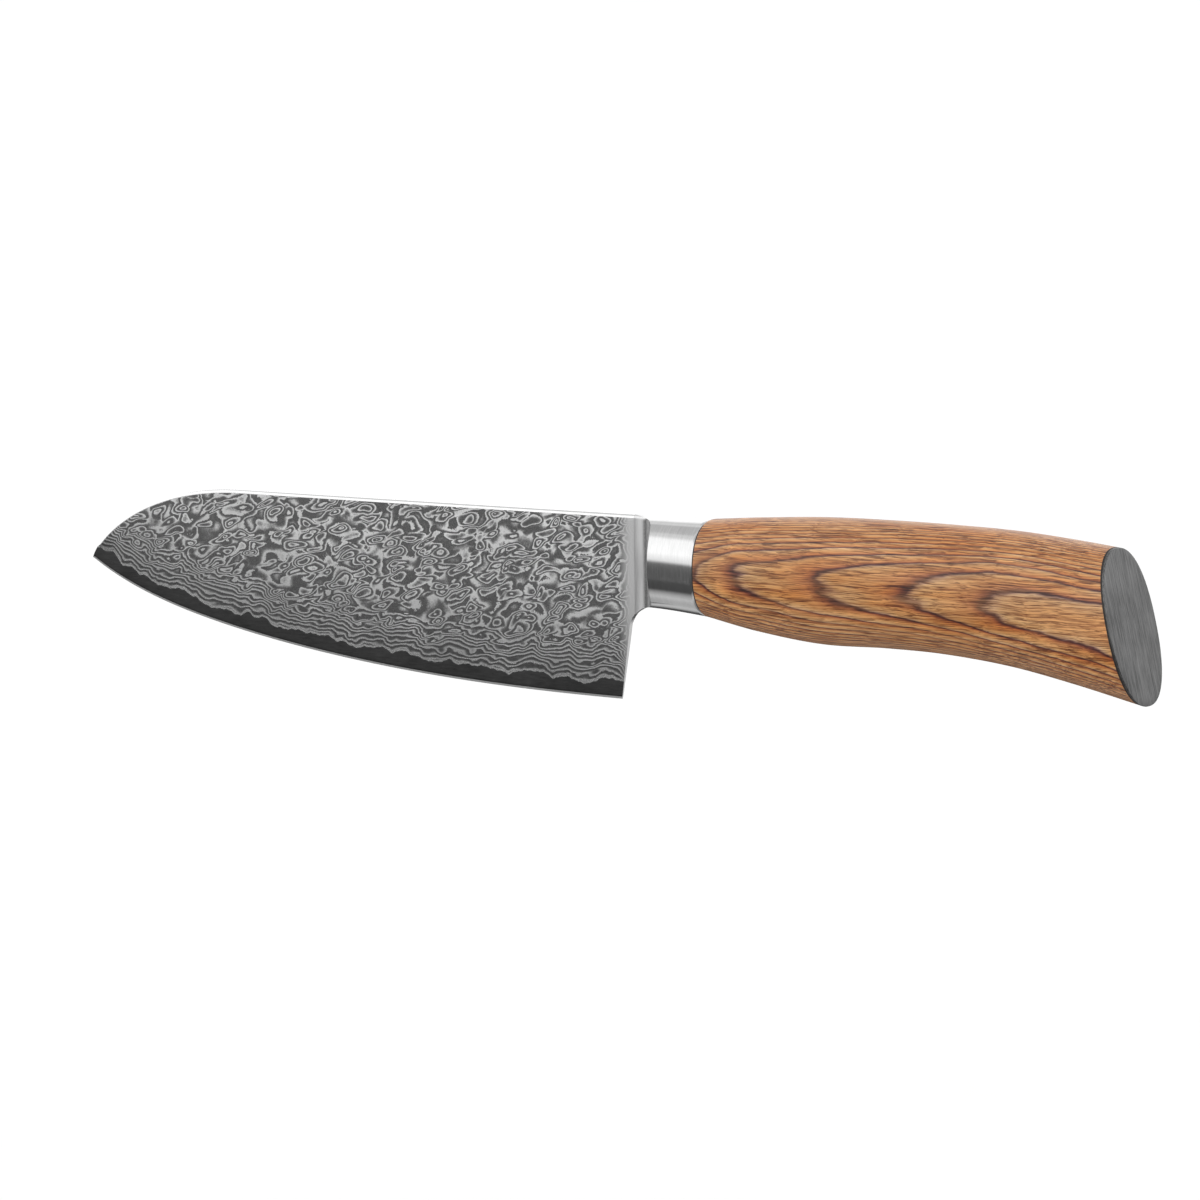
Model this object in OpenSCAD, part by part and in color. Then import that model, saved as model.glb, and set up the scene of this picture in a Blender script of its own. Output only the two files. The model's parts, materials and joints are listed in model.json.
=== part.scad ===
// Chef knife: a three-layer forged blade, a steel bolster and a waisted wooden handle with a butt cap.
// +X runs from the tip to the butt, +Z from the cutting edge to the spine, even about Y = 0.
// The origin is the middle of the bounding box's lower face, so the heel of the edge is at z = 0.

/* [Blade] */
// Length from the tip to the front of the bolster
blade_length = 168; // [150:1:190]
// Height from the heel to the spine
blade_height = 46; // [42:0.5:50]
// Height of the tip above the heel
tip_rise = 26.2; // [22:0.1:28]
// Length over which the spine falls to the tip
spine_drop_length = 46; // [36:1:56]
// Thickness of the spine at the bolster
spine_thickness = 2.2; // [1.8:0.1:3]
// Thickness of the spine at the tip
tip_thickness = 1.1; // [0.9:0.05:1.6]
// Thickness of the hard middle layer
core_thickness = 0.6; // [0.5:0.05:0.8]
// Height of the bare core above the cutting edge
core_band = 4.1; // [3:0.1:6]
// Height of the ground bevel at the cutting edge
bevel_height = 0.9; // [0.5:0.1:1.5]
// Distance from the bolster's front forward to the heel
heel_setback = 8.9; // [7:0.1:12]

/* [Bolster] */
// Length from the bolster's front to the wood
bolster_length = 17.2; // [14:0.1:22]
// Height of the bolster where it meets the wood
bolster_height = 24; // [22:0.5:26]
// Width of the bolster where it meets the wood
bolster_width = 20.4; // [18:0.2:22]
// Radius of the hollow fillets between the blade's sides and the bolster
fillet_radius = 8.5; // [7:0.1:10]
// Radius of the hollow between the heel and the underside of the bolster
choil_radius = 6.4; // [5:0.1:8]

/* [Handle] */
// Length from the bolster to the lowest point of the butt
handle_length = 120; // [110:1:130]
// Height of the butt face along its slope
butt_height = 37.5; // [34:0.5:40]
// Width of the butt face
butt_width = 23.4; // [21:0.2:26]
// Lean of the butt face: its lower end is further back
butt_slant = 12.9; // [5:0.1:18]
// Thickness of the butt cap's flange
cap_flange = 0.6; // [0.4:0.1:2]
// Thickness of the black fibre spacer under the cap
spacer_thickness = 0.4; // [0.3:0.1:1]

/* [Inside the handle] */
// Height of the tang
tang_height = 9; // [8:0.5:12]
// Thickness of the tang
tang_thickness = 2.4; // [2:0.1:3]
// Length of the tang behind the bolster
tang_length = 62; // [50:1:70]
// Diameter of the threaded stud on the tang's end
stud_diameter = 5; // [4:0.5:6]
// Distance from the bolster back to the seat of the stud's washer
washer_seat = 96; // [90:1:98]

/* [Hidden] */

steel = "silver";
etched_steel = "slategray";
core_steel = "dimgray";
wood = "peru";
$fn = 96;
far = 200;
past = 10;
sliver = 0.02;

// Places along X
overall_length = blade_length + bolster_length + handle_length;
tip_x = -overall_length / 2;
front_x = tip_x + blade_length;
joint_x = front_x + bolster_length;
heel_x = front_x - heel_setback;
edge_length = heel_x - tip_x;
neck_length = 4.8;
neck_x = front_x - neck_length;
spine_z = blade_height;

// Cutting edge: each term is [share of the tip's rise, power of the distance from the heel]
edge_terms = [[0.084, 1], [0.729, 2.35], [0.187, 11]];

// Spine: how it falls to the tip
spine_ease = 0.75;
spine_power = 2;

// Blade: half thicknesses down one side, and the steps along its length
core_half = core_thickness / 2;
cladding_step = 0.04;
cladding_nose = 2.4;
shoulder_half = 0.22;
full_spine_length = 60;
blade_steps = 72;
step_power = 1.5;

// Line where the cladding ends: each wave is [degrees per mm, phase, height in mm]
cladding_waves = [[31, 0, 0.275], [17, 40, 0.385], [71, 0, 0.1375]];

// Hollow above the heel: its round part starts this far below the spine
choil_drop = 29;
choil_lap = 0.1;
heel_lead = 0.6;

// Bolster: its section at the front, and the box-like hollow inside
bolster_front_height = 21.9;
bolster_front_width = 17.2;
bolster_front_drop = 0.35;
hollow_depth = 11;
hollow_radius = 7.2;
hollow_spread = 2.8;
hollow_z = spine_z - 11.9;
glue_gap = 0.05;
roundness = 2.3;
ring_points = 48;
ring_power = 2 / roundness;
front_lap = 0.2;

// Handle: [distance behind the bolster, top and bottom below the spine's line, half width]
joint_row = [0, 0, -bolster_height, bolster_width / 2];
butt_row = [handle_length, -1.9, -38.2, butt_width / 2];
handle_rows = [joint_row, [14, 1.1, -26.7, 10.5], [32, 2.1, -28.75, 10.9], [50, 2.3, -28.65, 10.9],
               [66, 2.15, -29.1, 10.8], [84, 1.6, -30.9, 10.9], [101, 0.2, -34.0, 11.3], butt_row];
handle_steps = 36;
handle_overrun = 0.5;

// Butt: the middle of the cap's face, which leans by butt_slant, and the handle's first step near it
butt_drop = 1.1;
butt_x = joint_x + handle_length - butt_height / 2 * sin(butt_slant);
butt_z = spine_z - butt_drop - butt_height / 2 * cos(butt_slant);
butt_step = 29;
boss_radius = 5;
boss_spread = 5.5;
boss_depth = 2.5;
pin_radius = 1.2;
pin_length = 5;
pin_spread = 14;

// Tang, stud, nut and washer on one line
tang_z = spine_z - 14.5;
stub_thickness = 1.2;
stub_end_x = joint_x - 8;
slot_gap = 0.5;
stud_gap = 0.3;
stud_end = 103;
washer_radius = 5;
washer_thickness = 1;
nut_flats = 8;
nut_height = 4;
counterbore_radius = 5.25;

// --- Blade outline -------------------------------------------------------

// Height of the edge at x: nearly straight at the heel, a long belly, then a quick sweep at the tip
function sum(v) = v * [for (i = v) 1];
function edge_z(x) = let (s = max(0, heel_x - x) / edge_length)
    tip_rise * sum([for (t = edge_terms) t[0] * pow(s, t[1])]);

// Height of the spine at x
function spine_at(x) = let (t = min(1, (x - tip_x) / spine_drop_length))
    spine_z - (spine_z - tip_rise) * pow(1 - pow(t, spine_ease), spine_power);

// Height of the line where the cladding ends: it wanders above the edge, as forged layers do
function wander(x) = sum([for (w = cladding_waves) w[2] * sin(x * w[0] + w[1])]);
function cladding_z(x) = min(spine_at(x) - sliver, edge_z(x) + core_band + wander(x));

// Half thickness of the blade at the spine
function spine_half(x) = let (t = min(1, (x - tip_x) / (blade_length - full_spine_length)))
    (tip_thickness + (spine_thickness - tip_thickness) * t) / 2;

// Places along the blade, closer together at the tip
function blade_place(i, from_x) = from_x + (neck_x - from_x) * pow(i / blade_steps, step_power);

function core_ring(x) =
    let (top = spine_at(x), edge = edge_z(x), low = cladding_z(x),
         bevel = min(edge + bevel_height, low - sliver / 2))
    [[x, -core_half, top], [x, -core_half, low], [x, -shoulder_half, bevel], [x, 0, edge],
     [x, shoulder_half, bevel], [x, core_half, low], [x, core_half, top]];

function cladding_ring(x, side) =
    let (top = spine_at(x), low = cladding_z(x), foot = core_half + cladding_step,
         half = max(spine_half(x), foot))
    [[x, side * core_half, top], [x, side * core_half, low], [x, side * foot, low],
     [x, side * half, top]];

// A solid skinned over a list of rings that all have the same number of points
module loft(rings) {
    n = len(rings[0]);
    m = len(rings);
    first = [for (i = [0:n - 1]) i];
    last = [for (i = [n - 1:-1:0]) (m - 1) * n + i];
    sides = [for (j = [0:m - 2], i = [0:n - 1]) let (k = (i + 1) % n)
        each [[j * n + i, (j + 1) * n + i, (j + 1) * n + k], [j * n + i, (j + 1) * n + k, j * n + k]]];
    polyhedron(points = [for (r = rings) each r], faces = concat([first, last], sides));
}

// Seen from the side: all of the blade in front of the heel's rear edge and the hollow above it
module choil_profile() {
    arc_x = front_x - choil_lap;
    arc_z = spine_z - choil_drop;
    arc = [for (a = [0:10:90]) [arc_x - choil_radius * cos(a), arc_z + choil_radius * sin(a)]];
    polygon(concat([[tip_x - past, -past], [heel_x - heel_lead, -past], [heel_x, 0]], arc,
                   [[joint_x, arc_z + choil_radius], [joint_x, spine_z + past],
                    [tip_x - past, spine_z + past]]));
}

// The same outline as a thick plate, even about Y = 0
module choil_plate(half_width) {
    translate([0, half_width, 0]) rotate([90, 0, 0]) linear_extrude(2 * half_width) choil_profile();
}

// A rectangular bar along X, centred on the tang's line
module tang_bar(from_x, to_x, thickness, height) {
    translate([from_x, -thickness / 2, tang_z - height / 2]) cube([to_x - from_x, thickness, height]);
}

// The slot around the tang, from from_x to the tang's end
module tang_slot(from_x) {
    tang_bar(from_x, joint_x + tang_length, tang_thickness + 2 * slot_gap, tang_height + 2 * slot_gap);
}

// An upright plate from y_low to y_high, as long and high as the stub behind the blade
module stub_layer(y_low, y_high) {
    translate([neck_x, y_low, tang_z - tang_height / 2])
        cube([stub_end_x - neck_x, y_high - y_low, tang_height]);
}

module blade_core() {
    color(core_steel) {
        intersection() {
            loft([for (i = [0:blade_steps]) core_ring(blade_place(i, tip_x + sliver))]);
            choil_plate(spine_thickness);
        }
        stub_layer(-core_half, core_half);
    }
}

// One layer of patterned steel; side is -1 for the left and 1 for the right
module cladding(side) {
    rings = [for (i = [0:blade_steps]) cladding_ring(blade_place(i, tip_x + cladding_nose), side)];
    layer = stub_thickness / 2;
    color(etched_steel) {
        intersection() {
            if (side < 0) loft([for (r = rings) [for (k = [3:-1:0]) r[k]]]);
            else loft(rings);
            choil_plate(spine_thickness);
        }
        if (side < 0) stub_layer(-layer, -core_half);
        else stub_layer(core_half, layer);
    }
}

module cladding_left() {
    cladding(-1);
}

module cladding_right() {
    cladding(1);
}

// --- Bolster -------------------------------------------------------------

// An oval ring at x between two heights, with softly squared corners
function squared(v) = sign(v) * pow(abs(v), ring_power);
function oval_ring(x, top, bottom, half_width) =
    let (mid = (top + bottom) / 2, half_height = (top - bottom) / 2)
    [for (i = [0:ring_points - 1]) let (a = i * 360 / ring_points)
        [x, half_width * squared(cos(a)), mid + half_height * squared(sin(a))]];

// Two round bars and a block between them, along X from x_low to x_high
module long_round(x_low, x_high, radius, spread) {
    for (s = [-1, 1])
        translate([x_low, 0, s * spread]) rotate([0, 90, 0]) cylinder(r = radius, h = x_high - x_low);
    translate([x_low, -radius, -spread]) cube([x_high - x_low, 2 * radius, 2 * spread]);
}

// All that lies inside the hollow fillet on one side; it leans with the blade's ground face
module inside_fillet(side) {
    lean = atan((spine_thickness / 2 - core_half - cladding_step) / (blade_height - core_band));
    face = spine_thickness / 2;
    translate([0, side * face, spine_z]) rotate([side * lean, 0, 0]) translate([0, 0, -blade_height])
        linear_extrude(blade_height + past) scale([1, side]) difference() {
            translate([neck_x, -far]) square([bolster_length + past, far + 2 * fillet_radius]);
            translate([neck_x, fillet_radius]) circle(fillet_radius);
            translate([neck_x - 1, fillet_radius]) square([fillet_radius + 1, far]);
        }
}

module bolster() {
    rear = oval_ring(joint_x, spine_z, spine_z - bolster_height, bolster_width / 2);
    front = oval_ring(front_x, spine_z - bolster_front_drop,
                      spine_z - bolster_front_drop - bolster_front_height, bolster_front_width / 2);
    color(steel) difference() {
        intersection() {
            union() {
                loft([front, rear]);
                intersection() {
                    translate([neck_x, -bolster_front_width / 2, 0])
                        cube([neck_length + front_lap, bolster_front_width,
                              spine_z - bolster_front_drop]);
                    choil_plate(bolster_front_width);
                }
            }
            inside_fillet(-1);
            inside_fillet(1);
        }
        translate([0, 0, hollow_z])
            long_round(joint_x - hollow_depth, joint_x + 1, hollow_radius, hollow_spread);
        tang_bar(neck_x - 1, joint_x, stub_thickness, tang_height);
    }
}

// --- Tang and its fastening ----------------------------------------------

module tang() {
    color(steel) tang_bar(stub_end_x, joint_x + tang_length, tang_thickness, tang_height);
}

// A round bar along X on the tang's line
module tang_round(from, to, radius) {
    translate([joint_x + from, 0, tang_z]) rotate([0, 90, 0]) cylinder(r = radius, h = to - from);
}

module tang_stud() {
    color(steel) tang_round(tang_length, stud_end, stud_diameter / 2);
}

module stud_washer() {
    color(steel) difference() {
        tang_round(washer_seat, washer_seat + washer_thickness, washer_radius);
        tang_round(washer_seat - 1, stud_end, stud_diameter / 2 + stud_gap);
    }
}

module stud_nut() {
    nut_start = washer_seat + washer_thickness;
    color(steel) difference() {
        translate([joint_x + nut_start, 0, tang_z]) rotate([0, 90, 0])
            cylinder(d = nut_flats / cos(30), h = nut_height, $fn = 6);
        tang_round(washer_seat, stud_end, stud_diameter / 2);
    }
}

module resin_fill() {
    hollow_x = joint_x - hollow_depth;
    slot_start = hollow_x + 1;
    color("khaki") difference() {
        union() {
            translate([0, 0, hollow_z]) long_round(hollow_x, slot_start, hollow_radius, hollow_spread);
            tang_slot(slot_start);
        }
        tang_bar(hollow_x - 1, stub_end_x, stub_thickness, tang_height);
        tang_bar(stub_end_x, joint_x + tang_length + 1, tang_thickness, tang_height);
    }
}

// --- Handle and butt -----------------------------------------------------

// A smooth curve through the rows: column c at distance d behind the bolster
function row_at(i) = handle_rows[max(0, min(len(handle_rows) - 1, i))];
function span_of(d) = max([for (i = [0:len(handle_rows) - 2]) handle_rows[i][0] <= d ? i : 0]);
function slope_at(i, c) =
    let (before = row_at(i - 1), after = row_at(i + 1))
    (after[c] - before[c]) / (after[0] - before[0]);
function eased(t) = 3 * pow(t, 2) - 2 * pow(t, 3);
function curve(d, c) =
    let (i = span_of(d), a = row_at(i), b = row_at(i + 1), w = b[0] - a[0], t = (d - a[0]) / w)
    a[c] * (1 - eased(t)) + slope_at(i, c) * w * t * pow(1 - t, 2)
    + b[c] * eased(t) - slope_at(i + 1, c) * w * pow(t, 2) * (1 - t);

function handle_ring(d) =
    oval_ring(joint_x + d, spine_z + curve(d, 1), spine_z + curve(d, 2), curve(d, 3));

// The handle's outer shape between two of its steps, which are handle_length / handle_steps apart
module handle_form(first_step) {
    step = (handle_length + handle_overrun) / handle_steps;
    loft([for (i = [first_step:handle_steps]) handle_ring(i * step)]);
}

// Puts its children on the butt's axis: +X points out of the cap's face
module at_butt() {
    translate([butt_x, 0, butt_z]) rotate([0, -butt_slant, 0]) children();
}

// A slab parallel to the cap's face, between two distances from it
module butt_slab(from, to) {
    at_butt() translate([from, -far / 2, -far / 2]) cube([to - from, far, far]);
}

module butt_boss(start) {
    at_butt() long_round(start, 0, boss_radius, boss_spread);
}

module cap_pin(side) {
    at_butt() translate([-cap_flange - pin_length, 0, side * pin_spread]) rotate([0, 90, 0])
        cylinder(r = pin_radius, h = pin_length);
}

module handle_block() {
    wood_end = -cap_flange - spacer_thickness;
    tenon_start = joint_x - hollow_depth + 1;
    color(wood) difference() {
        union() {
            intersection() {
                handle_form(0);
                butt_slab(-far, wood_end);
            }
            translate([0, 0, hollow_z])
                long_round(tenon_start, joint_x + 1, hollow_radius - glue_gap, hollow_spread);
        }
        tang_slot(tenon_start - 1);
        tang_round(tang_length - 1, washer_seat + 1, stud_diameter / 2 + stud_gap);
        tang_round(washer_seat, handle_length, counterbore_radius);
        butt_boss(-cap_flange - boss_depth);
        for (side = [-1, 1]) cap_pin(side);
    }
}

module rear_spacer() {
    color("black") difference() {
        intersection() {
            handle_form(butt_step);
            butt_slab(-cap_flange - spacer_thickness, -cap_flange);
        }
        butt_boss(-cap_flange - boss_depth);
        for (side = [-1, 1]) cap_pin(side);
    }
}

module end_cap() {
    color("gray") {
        intersection() {
            handle_form(butt_step);
            butt_slab(-cap_flange, 0);
        }
        at_butt() long_round(-cap_flange - boss_depth, -cap_flange, boss_radius, boss_spread);
    }
}

module cap_pin_upper() {
    color(steel) cap_pin(1);
}

module cap_pin_lower() {
    color(steel) cap_pin(-1);
}

blade_core();
cladding_left();
cladding_right();
bolster();
tang();
tang_stud();
handle_block();
resin_fill();
stud_washer();
stud_nut();
rear_spacer();
end_cap();
cap_pin_upper();
cap_pin_lower();
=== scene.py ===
"""Chef knife: the looks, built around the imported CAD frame. The shape code counts in millimetres."""

import json
import math

import bmesh
import bpy
import numpy as np
from mathutils import Matrix, Vector


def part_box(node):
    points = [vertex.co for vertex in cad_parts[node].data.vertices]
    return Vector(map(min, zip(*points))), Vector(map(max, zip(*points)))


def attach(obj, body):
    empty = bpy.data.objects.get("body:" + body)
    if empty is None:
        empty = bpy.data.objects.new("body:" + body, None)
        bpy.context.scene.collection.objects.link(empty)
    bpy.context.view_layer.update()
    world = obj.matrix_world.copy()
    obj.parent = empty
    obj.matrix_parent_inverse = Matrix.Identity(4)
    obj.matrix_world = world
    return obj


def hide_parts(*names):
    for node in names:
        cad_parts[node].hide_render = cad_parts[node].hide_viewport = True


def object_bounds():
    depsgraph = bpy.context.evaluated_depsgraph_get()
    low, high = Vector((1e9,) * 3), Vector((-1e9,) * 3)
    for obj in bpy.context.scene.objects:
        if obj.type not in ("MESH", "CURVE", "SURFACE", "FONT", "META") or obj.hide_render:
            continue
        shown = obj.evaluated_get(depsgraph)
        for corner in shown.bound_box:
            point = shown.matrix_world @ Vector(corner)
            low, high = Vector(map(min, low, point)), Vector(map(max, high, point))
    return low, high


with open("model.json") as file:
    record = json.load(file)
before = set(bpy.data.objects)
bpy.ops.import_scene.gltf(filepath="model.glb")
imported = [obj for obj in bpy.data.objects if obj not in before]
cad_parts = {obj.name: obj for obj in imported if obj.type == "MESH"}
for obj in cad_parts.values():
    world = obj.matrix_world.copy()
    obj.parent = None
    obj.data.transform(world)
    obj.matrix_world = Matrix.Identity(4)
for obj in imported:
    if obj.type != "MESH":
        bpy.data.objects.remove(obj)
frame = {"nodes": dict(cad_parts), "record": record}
cad_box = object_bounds()

MM = 0.001


def box_mm(node):
    """The lowest and highest corner of a CAD node, in millimetres."""
    low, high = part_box(node)
    return np.array(low) / MM, np.array(high) / MM


# ---------------------------------------------------------------------- places from the frame
core_low, core_high = box_mm("blade_core")
bolster_low, bolster_high = box_mm("bolster")
tip_x = core_low[0]
neck_x = bolster_low[0]
joint_x = bolster_high[0]
spine_z = core_high[2]

# The inner parts, which the bolster, the wood and the spacer are hollowed for
resin_low, resin_high = box_mm("resin_fill")
tang_low, tang_high = box_mm("tang")
stud_radius = box_mm("tang_stud")[1][1]
washer_x = box_mm("stud_washer")[0][0]
hollow_x, hollow_radius = resin_low[0], resin_high[1]
hollow_z = (resin_low[2] + resin_high[2]) / 2
hollow_spread = (resin_high[2] - resin_low[2]) / 2 - hollow_radius
tang_z = (tang_low[2] + tang_high[2]) / 2
tang_half_height = (tang_high[2] - tang_low[2]) / 2

butt = next(m for m in frame["record"]["mounts"] if m["name"] == "butt_face")
butt_point = np.array(butt["pos_m"], float) / MM
butt_axis = np.array(butt["axis"], float)

# ---------------------------------------------------------------------- chosen sizes
neck_length = 4.8  # from the blade's rear end to the bolster's oval ring
heel_gap = 8.9  # from the heel to the bolster's oval ring
tip_rise = 26.2
spine_drop_length = 46
full_spine_length = 108
tip_thickness, spine_thickness = 1.1, 2.2
core_half = 0.3  # half the thickness of the hard middle layer
bevel_height, bevel_half = 0.9, 0.22
cladding_foot = 0.34  # half the blade's thickness where the patterned layers end
band_height = 4.1  # mean height of that end above the edge
choil_radius, choil_drop = 6.4, 29  # the round hollow above the heel, and its foot below the spine
spine_round = 0.9  # height over which the blade's sides round into the spine
fillet_radius = 8.5
sliver = 0.02  # keeps the stub's faces clear of the blade's own at its rear

cap_start, wood_end = -0.6, -1.0  # distances from the butt's face
boss_radius, boss_spread, boss_depth = 5, 5.5, 2.5
tenon_gap, glue_gap, slot_gap, stud_gap = 1, 0.05, 0.5, 0.3
counterbore_radius = 5.25
past = 1  # how far a cutter runs past the faces that it opens

# Handle: [distance behind the bolster, top and bottom from the spine's line, half width]
HANDLE_ROWS = np.array([[0, 0, -24, 10.2], [14, 1.1, -26.7, 10.5], [32, 2.1, -28.75, 10.9],
                        [50, 2.3, -28.65, 10.9], [66, 2.15, -29.1, 10.8], [84, 1.6, -30.9, 10.9],
                        [101, 0.2, -34.0, 11.3], [120, -1.9, -38.2, 11.7]])

handle_length = HANDLE_ROWS[-1, 0]
front_x = neck_x + neck_length
heel_x = front_x - heel_gap
edge_length = heel_x - tip_x


# ---------------------------------------------------------------------- shape formulas
def smoothstep(t):
    t = np.clip(t, 0, 1)
    return t * t * (3 - 2 * t)


def sine(degrees):
    return np.sin(np.radians(degrees))


def squared(v, power):
    return np.sign(v) * np.abs(v) ** power


def places(start, end, step):
    """Evenly spaced numbers, about a step apart."""
    return np.linspace(start, end, max(2, int(round((end - start) / step)) + 1))


def edge_z(x):
    """Height of the edge: nearly straight at the heel, then the belly, then the turn at the tip."""
    s = np.maximum(0, heel_x - x) / edge_length
    return tip_rise * (0.084 * s + 0.729 * s**2.35 + 0.187 * s**11)


def spine_at(x):
    """Height of the spine, which falls to the tip in one curve."""
    t = np.clip((x - tip_x) / spine_drop_length, 0, 1)
    return spine_z - (spine_z - tip_rise) * (1 - t**0.75) ** 2


def layer_wave(x):
    """Height of the slow wave that the patterned layers follow above the edge."""
    wave = 0.34 * sine(31 * x) + 0.48 * sine(17 * x + 40) + 0.17 * sine(71 * x)
    return edge_z(x) + band_height + wave


def cladding_line(x):
    """Height of the wandering line where the patterned layers end above the edge."""
    fine = 0.16 * sine(113 * x + 20) * (0.5 + 0.5 * sine(23 * x)) + 0.09 * sine(197 * x + 75)
    curl = 0.55 * sine(61 * x + 10) * np.maximum(0, sine(8.3 * x + 215)) ** 2
    hook = 0.8 * np.maximum(0, sine(9.7 * x + 130)) ** 24
    return layer_wave(x) + fine + curl - hook


def spine_half(x):
    """Half the blade's thickness at the spine."""
    share = np.clip((x - tip_x) / full_spine_length, 0, 1)
    return (tip_thickness + (spine_thickness - tip_thickness) * share) / 2


def choil_z(x):
    """Lower limit of the blade behind the heel: a straight rise, then a quarter circle."""
    arc_x, arc_z = front_x - 0.1, spine_z - choil_drop
    arc_start = arc_x - choil_radius
    rise = arc_z * np.clip((x - heel_x) / (arc_start - heel_x), 0, 1)
    arc = arc_z + np.sqrt(np.maximum(0, choil_radius**2 - np.clip(arc_x - x, 0, choil_radius) ** 2))
    below = -1.0
    return np.where(x <= heel_x, below, np.where(x < arc_start, rise, arc))


def core_width(x, z):
    """Half thickness of the hard middle layer: a bevel at the edge, then nearly flat."""
    up = z - edge_z(x)
    band = np.maximum(cladding_line(x) - edge_z(x), 1.0)
    share = np.clip((up - bevel_height) / (band - bevel_height), 0, 1)
    body = bevel_half + (core_half - bevel_half) * share**0.8
    bevel = bevel_half * np.clip(up, 0, bevel_height) / bevel_height
    return np.where(up < bevel_height, bevel, np.minimum(body, core_half))


def face_width(x, z):
    """Half thickness of the blade over the patterned layers, slightly convex."""
    low, high = cladding_line(x), spine_at(x)
    t = np.clip((z - low) / np.maximum(high - low, 0.05), 0, 1)
    wide = np.maximum(spine_half(x), cladding_foot)
    return cladding_foot + (wide - cladding_foot) * (1 - (1 - t) ** 1.5)


def oval(angle, top, bottom, half_width, roundness=2.3):
    """Points (y, z) of the softly squared oval."""
    power = 2 / roundness
    y = half_width * squared(np.cos(angle), power)
    z = (top + bottom) / 2 + (top - bottom) / 2 * squared(np.sin(angle), power)
    return y, z


def long_round(angle, radius, spread):
    """Outline (y, z) of two half circles, moved up and down by spread, with straight sides between."""
    rise = np.round(np.sin(angle), 9)
    return radius * np.cos(angle), radius * rise + spread * np.sign(rise)


def box_outline(half_width, half_height):
    """Outline (y, z) of a rectangle."""
    return half_width * np.array([1, -1, -1, 1]), half_height * np.array([1, 1, -1, -1])


def bar_rings(outline, centre, stops, along=(1.0, 0.0, 0.0)):
    """Rings of an outline (y, z) at some distances from a centre, along a direction in the XZ plane."""
    along = np.array(along)
    up = np.array([-along[2], 0, along[0]])
    y, z = outline
    flat = np.outer(y, (0, 1, 0)) + np.outer(z, up)
    return [np.array(centre) + along * stop + flat for stop in stops]


# ---------------------------------------------------------------------- mesh helpers
def make_object(name, points, faces, materials, face_materials=None, sharp=32, attributes=None,
                inside_cad=True):
    """A smooth mesh object from points in millimetres; edges over the angle sharp stay crisp."""
    points = np.asarray(points) * MM
    if inside_cad:
        points = np.clip(points, cad_box[0], cad_box[1])
    mesh = bpy.data.meshes.new(name)
    mesh.from_pydata(points.tolist(), [], faces)
    for m in materials:
        mesh.materials.append(m)
    if face_materials is not None:
        mesh.polygons.foreach_set("material_index", np.asarray(face_materials, np.int32))
    for key, values in (attributes or {}).items():
        layer = mesh.attributes.new(key, "FLOAT", "POINT")
        layer.data.foreach_set("value", np.asarray(values, np.float32))
    mesh.update()
    bm = bmesh.new()
    bm.from_mesh(mesh)
    bmesh.ops.remove_doubles(bm, verts=bm.verts, dist=2e-6)
    bmesh.ops.dissolve_degenerate(bm, edges=bm.edges, dist=1e-6)
    bmesh.ops.recalc_face_normals(bm, faces=bm.faces)
    bm.to_mesh(mesh)
    bm.free()
    mesh.polygons.foreach_set("use_smooth", np.ones(len(mesh.polygons), bool))
    mesh.set_sharp_from_angle(angle=math.radians(sharp))
    obj = bpy.data.objects.new(name, mesh)
    bpy.context.scene.collection.objects.link(obj)
    return obj


def loft(name, rings, materials, sharp=32, paint=None, attributes=None, inside_cad=True):
    """A closed skin over a stack of closed rings. paint(ring, place) gives a face's material number."""
    rings = np.array(rings, float)
    count, size = rings.shape[:2]
    faces, kinds = [], []
    for j in range(count - 1):
        for i in range(size):
            k = (i + 1) % size
            faces.append((j * size + i, j * size + k, (j + 1) * size + k, (j + 1) * size + i))
            kinds.append((j, i))
    faces += [tuple(range(size - 1, -1, -1)), tuple((count - 1) * size + i for i in range(size))]
    kinds += [(-1, 0), (count, 0)]
    painted = [paint(j, i) for j, i in kinds] if paint else None
    return make_object(name, rings.reshape(-1, 3), faces, materials, painted, sharp, attributes, inside_cad)


def cutter(outline, centre, stops, along=(1.0, 0.0, 0.0)):
    """A bar between two stops along a direction, to be cut out of a piece."""
    return loft("cutter", bar_rings(outline, centre, stops, along), [], inside_cad=False)


def cut(piece, cutters, sharp):
    """Takes the cutters' shapes out of a piece, and removes the cutters."""
    for tool in cutters:
        change = piece.modifiers.new("cut", "BOOLEAN")
        change.operation, change.solver, change.object = "DIFFERENCE", "EXACT", tool
    graph = bpy.context.evaluated_depsgraph_get()
    mesh = bpy.data.meshes.new_from_object(piece.evaluated_get(graph))
    piece.modifiers.clear()
    whole, piece.data = piece.data, mesh
    bpy.data.meshes.remove(whole)
    mesh.set_sharp_from_angle(angle=math.radians(sharp))
    for tool in cutters:
        bpy.data.objects.remove(tool, do_unlink=True)


def finish_piece(obj, node):
    """Puts a piece on the body, in the place of its CAD node, and hides that node."""
    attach(obj, "root")
    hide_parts(node)


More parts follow.
